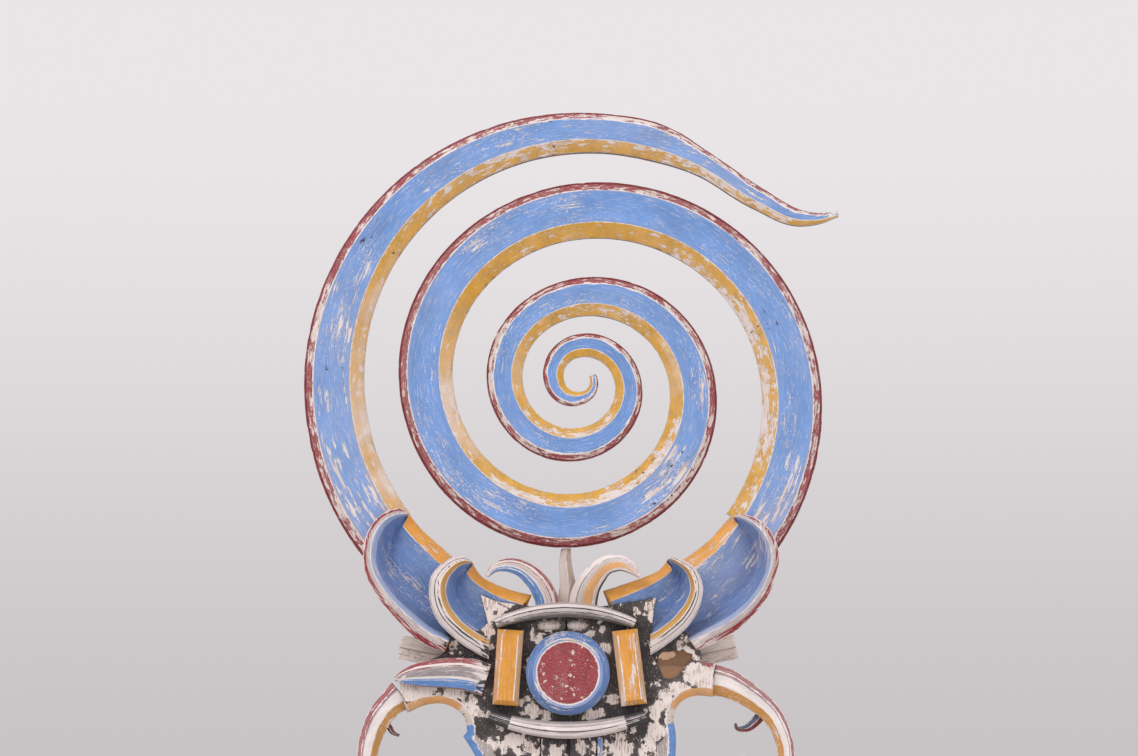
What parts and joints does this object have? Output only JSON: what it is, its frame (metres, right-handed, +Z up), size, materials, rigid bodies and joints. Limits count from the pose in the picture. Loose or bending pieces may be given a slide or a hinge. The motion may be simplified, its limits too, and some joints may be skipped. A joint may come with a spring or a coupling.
{
  "type": "carved roof finial",
  "caption": "Painted carved wooden roof finial: a long band wound into a spiral over a small head with a boss, leaf sheaths and side hooks, on a post cut flat at its foot.",
  "frame": {"origin": "middle of the flat underside of the post's foot, where it meets the ridge of the roof", "axes": "+Z up along the post, -Y out of the carved front, +X to the right as seen from the front"},
  "size_m": [0.9642, 0.1256, 1.5284],
  "materials": {
    "blue_band": "worn matt blue paint with red and ochre bevels",
    "black_ground": "black paint flaked to a white ground",
    "white_scroll": "worn white paint with red and ochre edges",
    "grey_leaf": "weathered white and grey paint",
    "bare_wood": "bare weathered wood",
    "red_boss": "worn red paint in a blue ring",
    "ochre_block": "worn ochre paint",
    "grey_moulding": "weathered grey-white paint"
  },
  "bodies": {
    "root": {"outer_arm": "blue_band", "spiral_arm": "blue_band", "head_board": "black_ground", "scroll_left": "white_scroll", "scroll_right": "white_scroll", "side_leaf_left": "grey_leaf", "top_curl_left": "grey_leaf", "top_curl_right": "grey_leaf", "strut": "bare_wood", "boss_disc": "red_boss", "block_left": "ochre_block", "block_right": "ochre_block", "brow_moulding": "grey_moulding", "chin_moulding": "grey_moulding", "back_batten": "bare_wood"}
  },
  "joints": []
}
